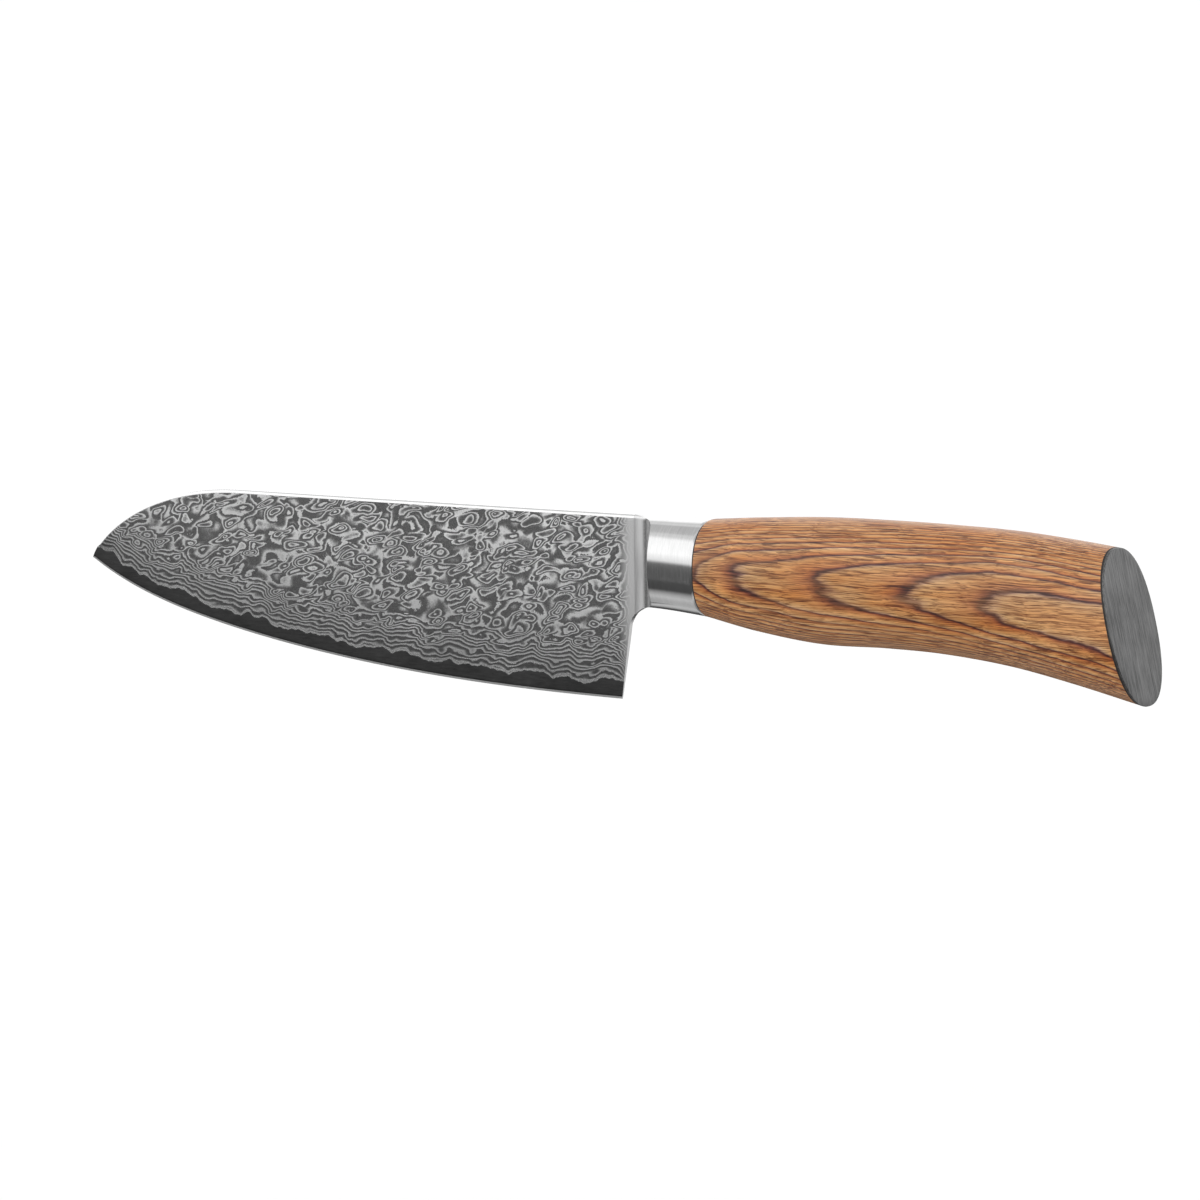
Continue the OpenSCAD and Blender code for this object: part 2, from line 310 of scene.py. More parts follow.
# ---------------------------------------------------------------------- material helpers
class Graph:
    """A small builder for node trees."""

    def __init__(self, tree):
        self.tree = tree

    def link(self, value, socket):
        if isinstance(value, bpy.types.NodeSocket):
            self.tree.links.new(value, socket)
        elif hasattr(socket.default_value, "__len__") and len(socket.default_value) == 4:
            socket.default_value = (*value[:3], 1)
        else:
            socket.default_value = value

    def math(self, operation, a, b=0.0, c=0.0):
        node = self.tree.nodes.new("ShaderNodeMath")
        node.operation = operation
        for value, socket in zip((a, b, c), node.inputs):
            self.link(value, socket)
        return node.outputs[0]

    def add(self, *values):
        total = values[0]
        for value in values[1:]:
            total = self.math("ADD", total, value)
        return total

    def times(self, a, b):
        return self.math("MULTIPLY", a, b)

    def vector(self, operation, a, b):
        node = self.tree.nodes.new("ShaderNodeVectorMath")
        node.operation = operation
        self.link(a, node.inputs[0])
        self.link(b, node.inputs[1])
        return node.outputs[0]

    def scaled(self, vector, factors):
        return self.vector("MULTIPLY", vector, factors)

    def moved(self, vector, by):
        return self.vector("ADD", vector, by)

    def turned(self, vector, angles):
        node = self.tree.nodes.new("ShaderNodeVectorRotate")
        node.rotation_type = "EULER_XYZ"
        self.link(vector, node.inputs["Vector"])
        node.inputs["Rotation"].default_value = angles
        return node.outputs[0]

    def parts(self, vector):
        node = self.tree.nodes.new("ShaderNodeSeparateXYZ")
        self.link(vector, node.inputs[0])
        return node.outputs

    def coordinates(self, kind):
        return self.tree.nodes.new("ShaderNodeTexCoord").outputs[kind]

    def noise(self, vector, scale=1.0, detail=0.0, roughness=0.5, colour=False):
        node = self.tree.nodes.new("ShaderNodeTexNoise")
        self.link(vector, node.inputs["Vector"])
        node.inputs["Scale"].default_value = scale
        node.inputs["Detail"].default_value = detail
        node.inputs["Roughness"].default_value = roughness
        return node.outputs["Color" if colour else "Fac"]

    def cells(self, vector, scale):
        """Distance to the nearest of many scattered points, in units of the cell size."""
        node = self.tree.nodes.new("ShaderNodeTexVoronoi")
        self.link(vector, node.inputs["Vector"])
        node.inputs["Scale"].default_value = scale
        return node.outputs["Distance"]

    def warped(self, vector, scale, reach):
        """The place pushed about by a noise, up to about half of reach."""
        shift = self.moved(self.noise(vector, scale, 1, colour=True), (-0.5, -0.5, -0.5))
        return self.moved(vector, self.scaled(shift, reach))

    def attribute(self, name):
        node = self.tree.nodes.new("ShaderNodeAttribute")
        node.attribute_name = name
        return node.outputs["Fac"]

    def spread(self, value, low, high, to_low=0.0, to_high=1.0, smooth=False):
        """A value moved from one range to another, and held inside it."""
        node = self.tree.nodes.new("ShaderNodeMapRange")
        node.interpolation_type = "SMOOTHSTEP" if smooth else "LINEAR"
        self.link(value, node.inputs["Value"])
        for key, number in zip(("From Min", "From Max", "To Min", "To Max"), (low, high, to_low, to_high)):
            node.inputs[key].default_value = number
        return node.outputs[0]

    def ramp(self, value, stops):
        """Stops are (place, grey) or (place, (r, g, b)); colours are linear."""
        node = self.tree.nodes.new("ShaderNodeValToRGB")
        self.link(value, node.inputs[0])
        bar = node.color_ramp.elements
        while len(bar) < len(stops):
            bar.new(0.5)
        for mark, (place, shade) in zip(bar, stops):
            mark.position = place
            mark.color = (*shade, 1) if hasattr(shade, "__len__") else (*grey(shade), 1)
        return node.outputs["Color"]

    def mix(self, share, a, b, blend="MIX"):
        """Two colours blended by a share from 0 to 1."""
        node = self.tree.nodes.new("ShaderNodeMix")
        node.data_type, node.blend_type = "RGBA", blend
        self.link(share, node.inputs["Factor"])
        self.link(a, node.inputs[6])
        self.link(b, node.inputs[7])
        return node.outputs[2]


class Surface(Graph):
    """A procedural material; place is the point on the object in millimetres."""

    def __init__(self, name):
        self.material = bpy.data.materials.new(name)
        self.material.use_nodes = True
        super().__init__(self.material.node_tree)
        self.shader = self.tree.nodes["Principled BSDF"]
        self.place = self.scaled(self.coordinates("Object"), (1 / MM,) * 3)

    def set(self, **values):
        """Constants and links on the shader's own sockets; underscores stand for spaces."""
        for key, value in values.items():
            self.link(value, self.shader.inputs[key.replace("_", " ")])

    def bump(self, height, depth, strength=1.0):
        """Relief, with its depth in metres."""
        node = self.tree.nodes.new("ShaderNodeBump")
        node.inputs["Strength"].default_value = strength
        node.inputs["Distance"].default_value = depth
        self.link(height, node.inputs["Height"])
        self.link(node.outputs["Normal"], self.shader.inputs["Normal"])

    def brushed_round_x(self, amount, turn):
        """Stretches reflections as brushing around the X axis does."""
        node = self.tree.nodes.new("ShaderNodeTangent")
        node.direction_type, node.axis = "RADIAL", "X"
        self.link(node.outputs[0], self.shader.inputs["Tangent"])
        self.set(Anisotropic=amount, Anisotropic_Rotation=turn)


def grey(value):
    return (value, value, value)


# ---------------------------------------------------------------------- materials
def patterned_steel():
    """Etched layers: level lines of a height that grows with rise, the distance above the core's line."""
    m = Surface("patterned_steel")
    p = m.place
    x = m.parts(p)[0]
    rise = m.attribute("rise")

    # The height: long rows near the core's line, folds and nested eyes further up, crowded near the bolster
    flow = m.warped(m.scaled(p, (0.85, 2.0, 1.2)), 1 / 7, (6, 6, 6))
    ground = m.noise(flow, 1 / 6, 1, 0.45)
    bent = m.warped(m.turned(flow, (0, 0.5, 0)), 1 / 3, (1.1, 1.1, 1.1))
    eye = m.math("SUBTRACT", 0.61, m.cells(m.scaled(bent, (0.58, 1, 1.35)), 1 / 3.5))
    bands = m.add(m.times(ground, 4.4), m.times(m.math("MAXIMUM", eye, 0), 4.1))
    swing = m.spread(rise, 0, 11, 0.27, 1, smooth=True)
    rows = m.spread(rise, 0, 10, 0, 7.0)
    near_rear = m.spread(x, neck_x - 7, neck_x, 0, 1)
    crowd = m.times(m.math("POWER", near_rear, 2), 4)
    ragged = m.spread(m.noise(p, 2.4, 3, 0.7), 0.3, 0.7, -0.11, 0.11)
    level = m.add(rows, m.times(swing, bands), crowd, m.times(ragged, m.spread(rise, 1, 6, 0, 1)))

    # Light and dark layers, a light border along the core's line, and a fade towards the bolster
    layers = m.ramp(m.math("FRACT", level), [(0.0, 0.93), (0.08, 1.0), (0.22, 0.84), (0.33, 0.42),
                                             (0.45, 0.13), (0.6, 0.0), (0.93, 0.0), (0.985, 0.88)])
    line = m.math("MAXIMUM", m.parts(layers)[0], m.spread(rise, 0.25, 0.65, 1, 0))
    patchy = m.noise(m.scaled(p, (0.1, 0.1, 0.1)), 1, 2)
    soft = m.times(line, m.spread(patchy, 0.3, 0.7, 0.75, 1.0))
    keep = m.spread(x, neck_x - 5, neck_x - 1, 1, 0.04, smooth=True)

    grain = m.noise(p, 4.5, 3, 0.7)
    dark = m.ramp(grain, [(0.3, 0.08), (0.7, 0.24)])
    light = m.ramp(grain, [(0.3, 0.82), (0.7, 0.99)])
    m.set(Base_Color=m.mix(keep, grey(0.66), m.mix(soft, dark, light)), Metallic=1.0)
    m.set(Roughness=m.add(m.spread(soft, 0, 1, 0.06, 0.0), m.spread(grain, 0.3, 0.7, -0.04, 0.04),
                          m.spread(rise, 0, 36, 0.25, 0.57)))
    m.bump(m.add(m.times(soft, m.times(keep, 0.6)), m.times(grain, 0.25)), 0.00003, 0.8)
    return m.material


def core_steel():
    """Dark etched steel, brushed along the blade."""
    m = Surface("core_steel")
    brush = m.noise(m.scaled(m.place, (0.35, 6, 9)), 1, 3, 0.65)
    fine = m.noise(m.scaled(m.place, (1.5, 10, 16)), 1, 2, 0.6)
    cloud = m.noise(m.place, 0.12, 2)
    tone = m.add(m.times(brush, 0.16), m.times(fine, 0.10), m.times(cloud, 0.14))
    m.set(Base_Color=m.ramp(tone, [(0.12, 0.055), (0.28, 0.13)]), Metallic=1.0)
    m.set(Roughness=m.spread(brush, 0.3, 0.7, 0.27, 0.38))
    m.bump(m.add(brush, fine), 0.000008, 0.6)
    return m.material


def brushed_steel(name, grain, tones, roughness, depth, detail=2, fineness=0.6):
    """Bare steel with one brushing; grain is its fineness along each axis."""
    m = Surface(name)
    brush = m.noise(m.scaled(m.place, grain), 1, detail, fineness)
    m.set(Base_Color=m.ramp(brush, [(0.3, tones[0]), (0.7, tones[1])]), Metallic=1.0)
    m.set(Roughness=m.spread(brush, 0.3, 0.7, *roughness))
    m.bump(brush, depth, 0.5)
    return m.material


def bolster_steel():
    """Satin on the ring, brushed around the knife, and polished in the hollow fillets."""
    m = Surface("bolster_steel")
    streak = m.noise(m.scaled(m.place, (5, 0.22, 0.22)), 1, 3, 0.62)
    fine = m.noise(m.scaled(m.place, (16, 0.8, 0.8)), 1, 2, 0.6)
    cloud = m.noise(m.place, 0.22, 2)
    x = m.parts(m.place)[0]
    tone = m.add(m.times(streak, 0.7), m.times(cloud, 0.3))
    m.set(Base_Color=m.ramp(tone, [(0.3, 0.6), (0.7, 0.72)]), Metallic=1.0)
    satin = m.spread(x, neck_x + 1.8, neck_x + 5.2, 0.36, 0.1, smooth=True)
    m.set(Roughness=m.add(satin, m.spread(streak, 0.3, 0.7, -0.02, 0.03),
                          m.spread(fine, 0.3, 0.7, -0.02, 0.02)))
    m.brushed_round_x(0.5, 0.25)
    m.bump(m.add(streak, m.times(fine, 0.5)), 0.00001, 0.45)
    return m.material


def cap_steel():
    """Dark satin steel, brushed up and down the slanted face."""
    m = Surface("cap_steel")
    slant = math.atan2(butt_axis[2], butt_axis[0])
    local = m.turned(m.place, (0, slant, 0))
    brush = m.noise(m.scaled(local, (3, 3, 0.07)), 1, 3, 0.7)
    fine = m.noise(m.scaled(local, (9, 9, 0.3)), 1, 2, 0.6)
    cloud = m.noise(m.place, 0.1, 2)
    tone = m.add(m.times(brush, 0.5), m.times(fine, 0.35), m.times(cloud, 0.15))
    m.set(Base_Color=m.ramp(tone, [(0.39, 0.05), (0.61, 0.215)]), Metallic=1.0)
    m.set(Roughness=m.spread(brush, 0.3, 0.7, 0.38, 0.5))
    m.bump(m.add(brush, m.times(fine, 0.6)), 0.000012, 0.6)
    return m.material


def wood_rings(m):
    """A count that grows by one from each growth ring to the next."""
    ring_depth, ring_run, first_ring = 0.68, 23.5, 15.97
    p = m.place
    x, y = m.parts(p)[0], m.parts(p)[1]
    d = m.math("SUBTRACT", x, joint_x)
    drift = m.noise(m.scaled(p, (0.016, 0.06, 0.06)), 1, 2, 0.5)
    ripple = m.noise(m.scaled(p, (0.07, 0.3, 0.3)), 1, 3, 0.6)
    shiver = m.noise(m.scaled(p, (0.07, 2.4, 2.4)), 1, 2, 0.6)
    side = m.spread(y, -4, 4, 0, 0.42, smooth=True)
    girth = m.add(m.spread(d, 0, 32, 10.2, 10.9, smooth=True), m.spread(d, 0, 13, 0.5, 0, smooth=True),
                  m.spread(d, 80, 120, 0, 1.35, smooth=True))
    under = m.math("SMOOTH_MIN", m.math("SUBTRACT", m.math("ABSOLUTE", y), girth), -0.1, 0.35)
    return m.add(m.times(under, 1 / ring_depth), m.times(d, 1 / ring_run), side, m.times(drift, 0.7),
                 m.times(ripple, 0.5), m.times(shiver, 0.1), first_ring)


def handle_wood():
    """Pressed wood: growth rings with rounded ends, patches, fibres, pores and fine dark hair lines."""
    m = Surface("handle_wood")
    p = m.place
    body = m.ramp(m.math("FRACT", wood_rings(m)), [
        (0.0, (0.095, 0.036, 0.034)), (0.03, (0.24, 0.125, 0.09)), (0.075, (0.53, 0.32, 0.18)),
        (0.16, (0.64, 0.37, 0.165)), (0.45, (0.67, 0.33, 0.12)), (0.68, (0.61, 0.265, 0.09)),
        (0.82, (0.49, 0.18, 0.062)), (0.90, (0.29, 0.085, 0.036)), (0.95, (0.12, 0.032, 0.022)),
        (1.0, (0.08, 0.028, 0.025))])
    faint = m.spread(m.noise(m.scaled(p, (0.02, 0.5, 0.25)), 1, 1), 0.45, 0.7, 0.0, 0.35)
    body = m.mix(faint, body, (0.62, 0.32, 0.125))
    waved = m.warped(p, 0.12, (0, 0.9, 0.9))
    fibre = m.noise(m.scaled(waved, (0.05, 2.4, 2.4)), 1, 3, 0.7)
    pore = m.noise(m.scaled(waved, (0.12, 3.4, 3.4)), 1, 2, 0.6)
    strand = m.noise(m.scaled(waved, (0.045, 1.25, 1.25)), 1, 2, 0.5)
    hair = m.math("ABSOLUTE", m.math("SUBTRACT", strand, 0.5))

    # Tints that the body's colour is multiplied by
    patch = m.ramp(m.noise(m.scaled(p, (0.035, 0.22, 0.22)), 1, 3, 0.6),
                   [(0.36, (1.06, 1.10, 1.22)), (0.5, grey(1.0)), (0.64, (0.95, 0.80, 0.62))])
    shade = m.ramp(fibre, [(0.33, (0.34, 0.21, 0.16)), (0.44, (0.84, 0.75, 0.68)),
                           (0.53, (1.04, 1.04, 1.03)), (0.66, (1.34, 1.34, 1.28))])
    dots = m.ramp(pore, [(0.385, (0.20, 0.11, 0.09)), (0.445, grey(1.0))])
    lines = m.ramp(hair, [(0.01, (0.30, 0.17, 0.13)), (0.045, grey(1.0))])
    colour = body
    for share, tint in ((1.0, patch), (1.0, shade), (0.75, dots), (0.45, lines)):
        colour = m.mix(share, colour, tint, "MULTIPLY")
    gloss = m.spread(fibre, 0.3, 0.7, 0.47, 0.36)
    m.set(Base_Color=colour, Roughness=gloss, Specular_IOR_Level=0.58)
    m.bump(m.add(m.times(fibre, 0.6), m.times(pore, 0.4)), 0.00005, 0.5)
    return m.material


def cast_material(name, grain, colours, roughness, depth, strength):
    """A dense material with one even grain: (scale, detail, fineness)."""
    m = Surface(name)
    speck = m.noise(m.place, *grain)
    m.set(Base_Color=m.ramp(speck, [(0.3, colours[0]), (0.7, colours[1])]))
    m.set(Roughness=m.spread(speck, 0.3, 0.7, *roughness))
    m.bump(speck, depth, strength)
    return m.material


STEEL_PATTERN, STEEL_CORE = patterned_steel(), core_steel()
STEEL_BRIGHT = brushed_steel("polished_steel", (0.5, 7, 7), (0.72, 0.84), (0.14, 0.22), 0.000004)
STEEL_GROUND = brushed_steel("ground_steel", (6, 1.5, 1.5), (0.72, 0.84), (0.40, 0.48), 0.000004)
STEEL_BOLSTER, STEEL_CAP = bolster_steel(), cap_steel()
STEEL_INNER = brushed_steel("inner_steel", (0.8, 3, 3), (0.34, 0.48), (0.34, 0.5), 0.00002, 3, 0.65)
WOOD = handle_wood()
# The spacer's black fibre; the same material also serves as painted shade in the wood's groove at the
# bolster
FIBRE_AND_GROOVE_SHADE = cast_material("black_fibre", (5, 3, 0.7), ((0.012, 0.009, 0.008), (0.035, 0.026, 0.022)),
                      (0.5, 0.65), 0.00002, 0.4)
RESIN = cast_material("cured_resin", (0.5, 4, 0.6), ((0.42, 0.33, 0.14), (0.56, 0.46, 0.22)),
                      (0.22, 0.34), 0.00005, 0.3)


# ---------------------------------------------------------------------- the blade's layers
BEHIND_HEEL = places(heel_x, neck_x, 0.1)[1:]


def stub_rings(ring, inner, outer):
    """The stub's section at the blade's rear and at its own end, in step with the blade's last ring."""
    y = np.sign(ring[:, 1]) * np.where(np.abs(ring[:, 1]) <= inner, inner + sliver, outer)
    z = np.clip(ring[:, 2], tang_low[2], tang_high[2])
    return [np.stack([np.full(len(y), x), y, z], 1) for x in (neck_x, tang_low[0])]


def ring_x(xs, ring):
    """Where a ring stands; an end cap stands with the ring that it closes."""
    return xs[min(max(ring, 0), len(xs) - 1)]


def core_layer():
    """The hard middle layer, dark below the pattern, ground at the edge and polished on the spine."""
    steel, bright, ground = range(3)
    tip = tip_x + places(0, 1, 0.06) ** 1.6
    xs = np.concatenate([tip, places(tip_x + 1.2, heel_x, 0.45), BEHIND_HEEL])
    heights = np.concatenate([[0.0, 0.3, 0.55, bevel_height], np.linspace(1.3, 6.9, 12)])
    rings = []
    for x in xs:
        top = spine_at(x)
        low = max(float(edge_z(x)), float(choil_z(x)))
        z = np.minimum(low + heights, top - 0.002)
        half = core_width(x, z)
        left = [(x, -a, b) for a, b in zip(half, z)]
        right = [(x, a, b) for a, b in zip(half, z)]
        rings.append(np.array(left[::-1] + right + [(x, core_half, top), (x, -core_half, top)]))
    rings += stub_rings(rings[-1], 0, core_half - sliver)
    foot, spine = len(heights) - 1, 2 * len(heights)

    def paint(ring, place):
        rear = ring_x(xs, ring) > heel_x
        if place == spine or (place == foot and rear):
            return bright
        return ground if abs(place - foot) < 3 and not rear else steel

    core = loft("core_layer", rings, [STEEL_CORE, STEEL_BRIGHT, STEEL_GROUND], sharp=9, paint=paint)
    finish_piece(core, "blade_core")


def nose_x():
    """Where the patterned layers begin behind the tip."""
    probe = np.linspace(tip_x + 0.1, tip_x + 8, 800)
    return probe[np.argmax(cladding_line(probe) < spine_at(probe) - 0.06)]


def pattern_layer(side, name, node):
    """The patterned layer on one side: its face, the rounded spine and the back against the core."""
    n_face, n_round = 30, 6
    calm_height = 3.5  # above this the layers follow the slow wave and not the border
    xs = np.concatenate([places(nose_x(), heel_x, 0.36), BEHIND_HEEL])
    turn = np.radians(np.linspace(0, 90, n_round + 1))[1:]
    rings, rise = [], []
    for x in xs:
        top = float(spine_at(x))
        line = min(float(cladding_line(x)), top - 0.04)
        low = max(line, float(choil_z(x)))
        wide = float(max(spine_half(x), cladding_foot))
        drop = max(0.01, min(spine_round, (top - low) * 0.5))
        r = max(0.01, min(0.75 * drop, wide - core_half - 0.03))
        z = low + (top - drop - low) * np.linspace(0, 1, n_face)
        y = np.minimum(face_width(x, z), wide)
        y = np.concatenate([y, y[-1] - r + r * np.cos(turn), [core_half, core_half]])
        z = np.concatenate([z, top - drop + drop * np.sin(turn), [top, low]])
        rings.append(np.stack([np.full(len(y), x), side * y, z], 1))
        calm = np.clip((z - line) / calm_height, 0, 1)
        rise.append(z - line - (layer_wave(x) - line) * calm)
    rings += stub_rings(rings[-1], core_half, 2 * core_half)
    rise += rise[-1:] * 2
    foot = n_face + n_round + 1

    def paint(ring, place):
        over_spine = n_face - 1 <= place < foot - 1
        return int(over_spine or (place == foot and ring_x(xs, ring) > heel_x + 0.55))

    layer = loft(name, rings, [STEEL_PATTERN, STEEL_BRIGHT], sharp=30, paint=paint,
                 attributes={"rise": np.concatenate(rise)})
    finish_piece(layer, node)


core_layer()
pattern_layer(-1, "pattern_layer_left", "cladding_left")
pattern_layer(1, "pattern_layer_right", "cladding_right")


# ---------------------------------------------------------------------- the bolster
def bolster_section(x, angle):
    """The oval (y, z) at x, and how far from the middle the hollow fillet lets it reach."""
    front_half, rear_half = 8.6, 10.2
    front_bottom, rear_bottom = 23.75, 22.0
    step = 0.35  # the ring's front top lies this far below the spine
    soft = 0.35  # rounding where the hollow above the heel meets the ring's lower side
    spine_round_depth = 0.67  # how far the blade's rounded spine draws the fillet in
    along = (x - front_x) / (joint_x - front_x)
    s = np.clip(along, 0, 1)
    top = spine_z - step * smoothstep((x - neck_x) / 3.5) + step * s
    line = front_bottom - (front_bottom - rear_bottom) * along
    arc = choil_z(np.minimum(x, front_x - 0.1))
    bottom = -soft * np.log(np.exp(-arc / soft) + np.exp(-line / soft))
    y, z = oval(angle, top, bottom, front_half + (rear_half - front_half) * s)
    d = np.clip(x - neck_x, 0, fillet_radius)
    side = face_width(neck_x, z) + fillet_radius - np.sqrt(np.maximum(fillet_radius**2 - d**2, 0))
    over = np.clip((z - (top - spine_round)) / spine_round, 0, 1)
    side = side - spine_round_depth * (1 - np.sqrt(1 - over**2)) * np.clip(1 - d / 5, 0, 1)
    return y, z, side


def fillet_crease(angle):
    """Where the hollow fillet runs out into the oval ring, for each angle."""
    low, high = np.full(angle.shape, neck_x), np.full(angle.shape, neck_x + fillet_radius)
    for _ in range(40):
        middle = (low + high) / 2
        y, _, side = bolster_section(middle, angle)
        inside = np.abs(y) > side
        low, high = np.where(inside, middle, low), np.where(inside, high, middle)
    return np.maximum(low, neck_x + 0.6)


def bolster_shell():
    """The ring with its fillets, the hollow for the wood's tenon and the slot for the blade's stub."""
    angle = np.radians(np.linspace(0, 360, 193)[:-1])
    crease = fillet_crease(angle)
    rings = []
    for s in 1 - np.cos(np.linspace(0, math.pi / 2, 25)):
        x = neck_x + (crease - neck_x) * s
        y, z, side = bolster_section(x, angle)
        rings.append(np.stack([x, np.sign(y) * np.minimum(np.abs(y), side), z], 1))
    for s in np.linspace(0, 1, 25)[1:]:
        x = crease + (joint_x - 0.16 - crease) * s
        y, z, _ = bolster_section(x, angle)
        rings.append(np.stack([x, y, z], 1))
    for x, inset in ((joint_x - 0.07, 0.03), (joint_x, 0.15)):
        y, z, _ = bolster_section(np.full(angle.shape, x), angle)
        middle, half_height = (z.max() + z.min()) / 2, (z.max() - z.min()) / 2
        y = y * (1 - inset / np.abs(y).max())
        z = middle + (z - middle) * (1 - inset / half_height)
        rings.append(np.stack([np.full(angle.shape, x), y, z], 1))
    hollow = long_round(angle, hollow_radius, hollow_spread)
    rings += bar_rings(hollow, (0, 0, hollow_z), (joint_x, hollow_x))
    shell = loft("bolster_shell", rings, [STEEL_BOLSTER], sharp=28)
    slot = box_outline(2 * core_half, tang_half_height)
    cut(shell, [cutter(slot, (0, 0, tang_z), (neck_x - past, hollow_x + past))], 28)
    finish_piece(shell, "bolster")


bolster_shell()


# ---------------------------------------------------------------------- the handle and its butt
ANGLES = np.radians(np.linspace(0, 360, 145)[:-1])
ROUND = np.radians(np.linspace(0, 360, 49)[:-1] + 3.75)


def handle_curve(d, column):
    """A smooth curve through one column of the handle's rows, at a distance d behind the bolster."""
    rows, count = HANDLE_ROWS, len(HANDLE_ROWS)
    i = np.clip(np.searchsorted(rows[:, 0], d, side="right") - 1, 0, count - 2)

    def slope(k):
        a, b = np.maximum(k - 1, 0), np.minimum(k + 1, count - 1)
        return (rows[b, column] - rows[a, column]) / (rows[b, 0] - rows[a, 0])

    w = rows[i + 1, 0] - rows[i, 0]
    t = (d - rows[i, 0]) / w
    ease = 3 * t**2 - 2 * t**3
    return (rows[i, column] * (1 - ease) + slope(i) * w * t * (1 - t) ** 2
            + rows[i + 1, column] * ease - slope(i + 1) * w * t**2 * (1 - t))


def handle_ring(x):
    """Points of the handle's outer shape, for one x or an x for each angle."""
    x = np.broadcast_to(np.asarray(x, float), ANGLES.shape)
    d = x - joint_x
    y, z = oval(ANGLES, spine_z + handle_curve(d, 1), spine_z + handle_curve(d, 2), handle_curve(d, 3))
    return np.stack([x, y, z], 1)


def butt_cut(offset):
    """The x where the handle's outer shape meets a plane parallel to the butt face, for each angle."""
    end = joint_x + handle_length
    low, high = np.full(ANGLES.shape, end - 40), np.full(ANGLES.shape, end + 1)
    for _ in range(40):
        middle = (low + high) / 2
        short = (handle_ring(middle) - butt_point) @ butt_axis < offset
        low, high = np.where(short, middle, low), np.where(short, high, middle)
    return low


def shrunk(ring, inset):
    """A ring pulled towards its own middle by inset."""
    middle = (ring.max(0) + ring.min(0)) / 2
    out = ring - middle
    reach = np.linalg.norm(out, axis=1, keepdims=True)
    return middle + out * (1 - inset / reach)


def contours(*steps):
    """Rings of the handle's outline on planes parallel to the butt face, for steps of (offset, inset)."""
    return [shrunk(handle_ring(butt_cut(offset)), inset) for offset, inset in steps]


def butt_cutters():
    """What is cut for the cap's boss and its two pins, along the butt's axis."""
    boss = long_round(ROUND, boss_radius, boss_spread)
    tools = [cutter(boss, butt_point, (cap_start - boss_depth, past), butt_axis)]
    for pin in ("cap_pin_upper", "cap_pin_lower"):
        low, high = box_mm(pin)
        radius = high[1]
        length = (high[0] - low[0] - 2 * radius * abs(butt_axis[2])) / butt_axis[0]
        stops = (-length / 2, length / 2 + past)
        tools.append(cutter(long_round(ROUND, radius, 0), (low + high) / 2, stops, butt_axis))
    return tools


def handle_grip():
    """The wood, with its tenon, a dark line of painted shade in the groove at the bolster, the tang's slot
    and the stud's bores.
    """
    nose = ((0.0, 0.16), (0.08, 0.06), (0.26, 0.0))  # distance behind the joint, and inset
    tenon_x = hollow_x + tenon_gap
    tenon = long_round(ANGLES, hollow_radius - glue_gap, hollow_spread)
    rings = bar_rings(tenon, (0, 0, hollow_z), (tenon_x, joint_x))
    rings += [shrunk(handle_ring(joint_x + d), inset) for d, inset in nose]
    start, end = joint_x + nose[-1][0], butt_cut(wood_end)
    rings += [handle_ring(start + (end - start) * s) for s in np.linspace(0, 1, 131)[1:]]

    # The two narrow strips of the groove at the bolster get the black material as painted shade
    def paint(ring, place):
        return int(ring in (2, 3))

    block = loft("handle_grip", rings, [WOOD, FIBRE_AND_GROOVE_SHADE], sharp=35, paint=paint)
    slot = box_outline(tang_high[1] + slot_gap, tang_half_height + slot_gap)
    bore = long_round(ROUND, stud_radius + stud_gap, 0)
    counterbore = long_round(ROUND, counterbore_radius, 0)
    line = (0, 0, tang_z)
    cut(block, [cutter(slot, line, (tenon_x - past, tang_high[0])),
                cutter(bore, line, (tang_high[0] - past, washer_x + past)),
                cutter(counterbore, line, (washer_x, joint_x + handle_length + past)), *butt_cutters()], 35)
    finish_piece(block, "handle_block")


def black_spacer():
    """The thin black layer, a hair set back from the wood and the cap."""
    groove, depth = 0.06, 0.05
    rings = contours((wood_end, 0.0), (wood_end + groove, depth),
                     (cap_start - groove, depth), (cap_start, 0.0))
    spacer = loft("black_spacer", rings, [FIBRE_AND_GROOVE_SHADE], sharp=35)
    cut(spacer, butt_cutters(), 35)
    finish_piece(spacer, "rear_spacer")


def butt_cap():
    """The dark steel cap: its boss, a rounded rim, and a flat face drawn in to the middle."""
    boss = long_round(ANGLES, boss_radius, boss_spread)
    rings = bar_rings(boss, butt_point, (cap_start - boss_depth, cap_start), butt_axis)
    rings += contours((cap_start, 0.3), (cap_start, 0.05), (cap_start + 0.05, 0.0),
                      (-0.16, 0.0), (-0.07, 0.03), (-0.02, 0.08))
    face, rim = contours((0.0, 0.0), (0.0, 0.18))
    middle = (face.max(0) + face.min(0)) / 2
    rings += [middle + (rim - middle) * share for share in np.linspace(1, 0, 13)[:-1]]
    cap = loft("butt_cap", rings, [STEEL_CAP], sharp=40)
    finish_piece(cap, "end_cap")


handle_grip()
black_spacer()
butt_cap()

# ---------------------------------------------------------------------- the hidden CAD nodes
for node in ("tang", "tang_stud", "stud_washer", "stud_nut", "cap_pin_upper", "cap_pin_lower",
             "resin_fill"):
    for place in frame["nodes"][node].material_slots:
        place.material = RESIN if node == "resin_fill" else STEEL_INNER


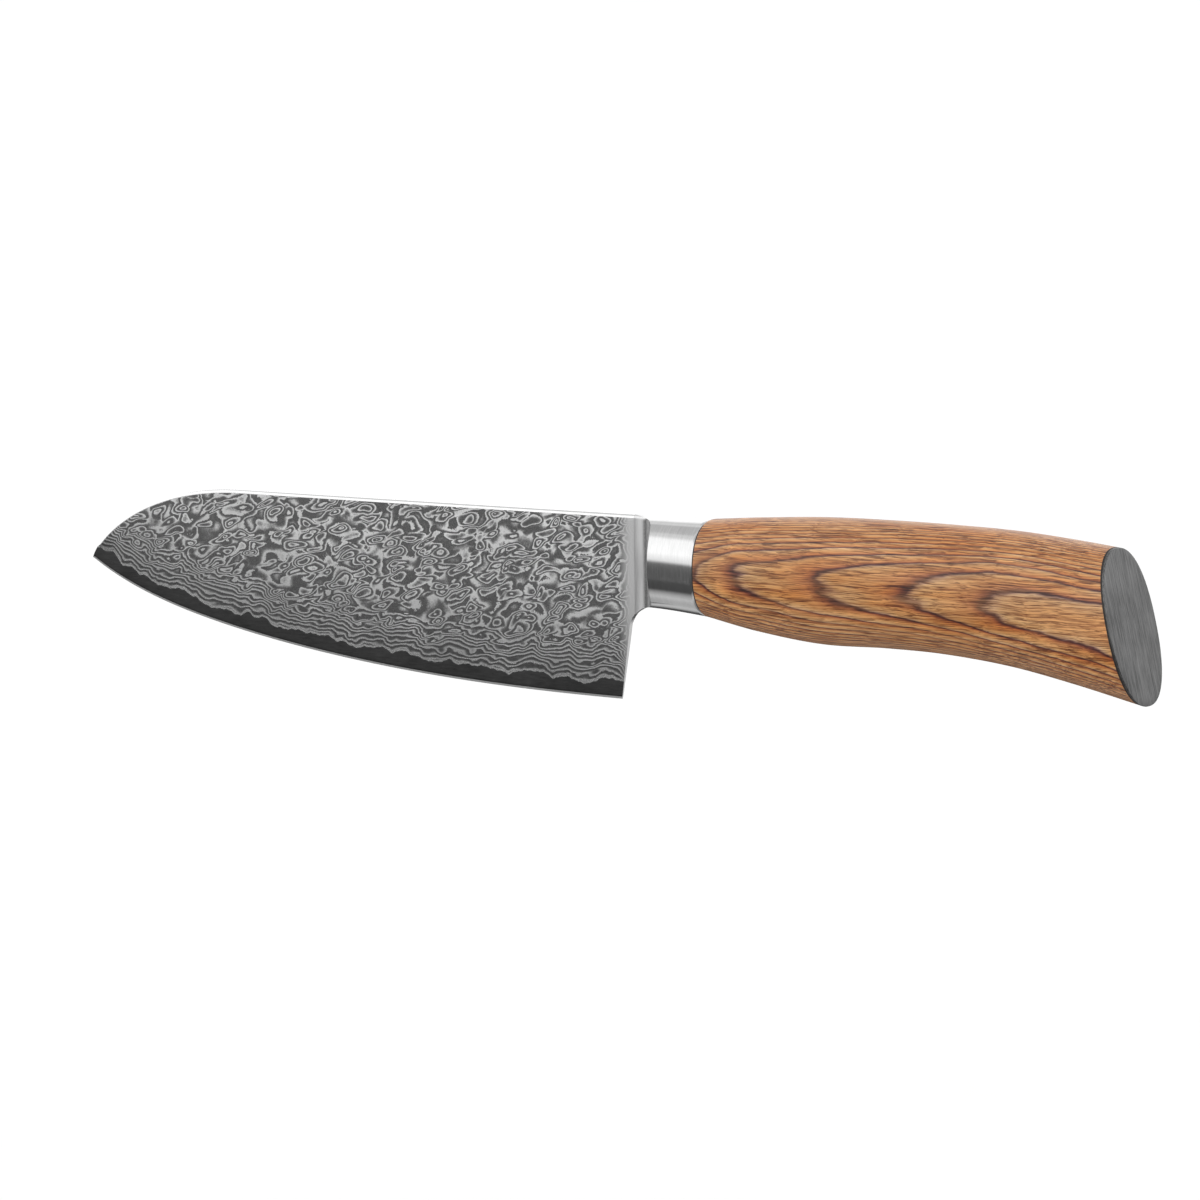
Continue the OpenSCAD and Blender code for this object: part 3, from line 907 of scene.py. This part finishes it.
# ---------------------------------------------------------------------- stage, light and camera
def stage():
    """A pale floor that curves up into a round backdrop. It lights nothing and shows in no reflection."""
    floor_z, wide, bend = -95.0, 3600.0, 500.0
    profile = [(r, floor_z) for r in (60, 200, 500, 1000, 1800, wide - bend)]
    for a in np.radians(np.linspace(0, 90, 13))[1:]:
        profile.append((wide - bend + bend * math.sin(a), floor_z + bend * (1 - math.cos(a))))
    profile.append((wide, floor_z + 3000))
    turns = np.radians(np.linspace(0, 360, 97)[:-1])
    points = [(0, 0, floor_z)]
    points += [(r * math.cos(t), r * math.sin(t), z) for r, z in profile for t in turns]
    n = len(turns)
    faces = [(0, 1 + i, 1 + (i + 1) % n) for i in range(n)]
    for j in range(len(profile) - 1):
        for i in range(n):
            a, b = 1 + j * n + i, 1 + j * n + (i + 1) % n
            faces.append((a, a + n, b + n, b))
    m = Surface("pale_floor")
    speck = m.noise(m.place, 0.02, 3)
    m.set(Base_Color=m.ramp(speck, [(0.3, 0.80), (0.7, 0.82)]), Roughness=0.9, Specular_IOR_Level=0.0)
    m.set(Emission_Color=grey(1.0), Emission_Strength=0.2)
    floor = make_object("studio_floor", points, faces, [m.material], sharp=60, inside_cad=False)
    for ray in ("glossy", "diffuse", "transmission", "shadow"):
        setattr(floor, "visible_" + ray, False)


def world_light():
    """A soft studio: a bright wall above the horizon, a dark line below it and light from far below."""
    world = bpy.data.worlds.new("studio")
    bpy.context.scene.world = world
    world.use_nodes = True
    sky = Graph(world.node_tree)
    x, y, z = sky.parts(sky.coordinates("Generated"))
    height = sky.math("MULTIPLY_ADD", z, 0.5, 0.5)
    wall = sky.ramp(height, [(0.0, 0.08), (0.08, 0.22), (0.13, 0.48), (0.175, 0.29), (0.215, 0.055),
                             (0.35, 0.065), (0.44, 0.09), (0.475, 0.14), (0.505, 0.75), (0.6, 1.0),
                             (0.8, 0.95), (0.86, 0.5), (0.93, 0.42), (1.0, 0.5)])

    def edge(value, low, high, to_low=0, to_high=1):
        return sky.spread(value, low, high, to_low, to_high, smooth=True)

    # Two more lights, placed by the angle from straight ahead of the tip, the same on both sides
    ahead = sky.math("ARCTAN2", sky.math("ABSOLUTE", y), sky.times(x, -1))
    panel = sky.times(edge(ahead, math.radians(15), math.radians(27)),
                      edge(ahead, math.radians(36), math.radians(47), 1, 0))
    panel = sky.times(sky.times(panel, edge(z, -0.4, -0.28)), 0.62)
    rear = sky.times(edge(ahead, math.radians(98), math.radians(116)), 0.45)
    light = sky.math("MAXIMUM", sky.math("MAXIMUM", wall, panel), rear)
    background = sky.tree.nodes["Background"]
    sky.link(light, background.inputs["Color"])
    sky.link(1.5, background.inputs["Strength"])


def camera():
    """The viewing angle of the photo's upper picture, from far enough to take in the whole knife."""
    azimuth, elevation, roll, distance = math.radians(31.7), math.radians(6.9), math.radians(-0.3), 1.94
    target = (cad_box[0] + cad_box[1]) / 2
    back = Vector((math.sin(azimuth) * math.cos(elevation), -math.cos(azimuth) * math.cos(elevation),
                   math.sin(elevation)))
    data = bpy.data.cameras.new("camera")
    data.lens, data.sensor_width = 236, 36
    data.clip_start, data.clip_end = 0.05, 60
    eye = bpy.data.objects.new("camera", data)
    turn = (-back).to_track_quat("-Z", "Y").to_matrix().to_4x4() @ Matrix.Rotation(roll, 4, "Z")
    eye.matrix_world = Matrix.Translation(target + back * distance) @ turn
    bpy.context.scene.collection.objects.link(eye)
    bpy.context.scene.camera = eye


stage()
world_light()
camera()
bpy.context.scene.view_settings.view_transform = "Standard"
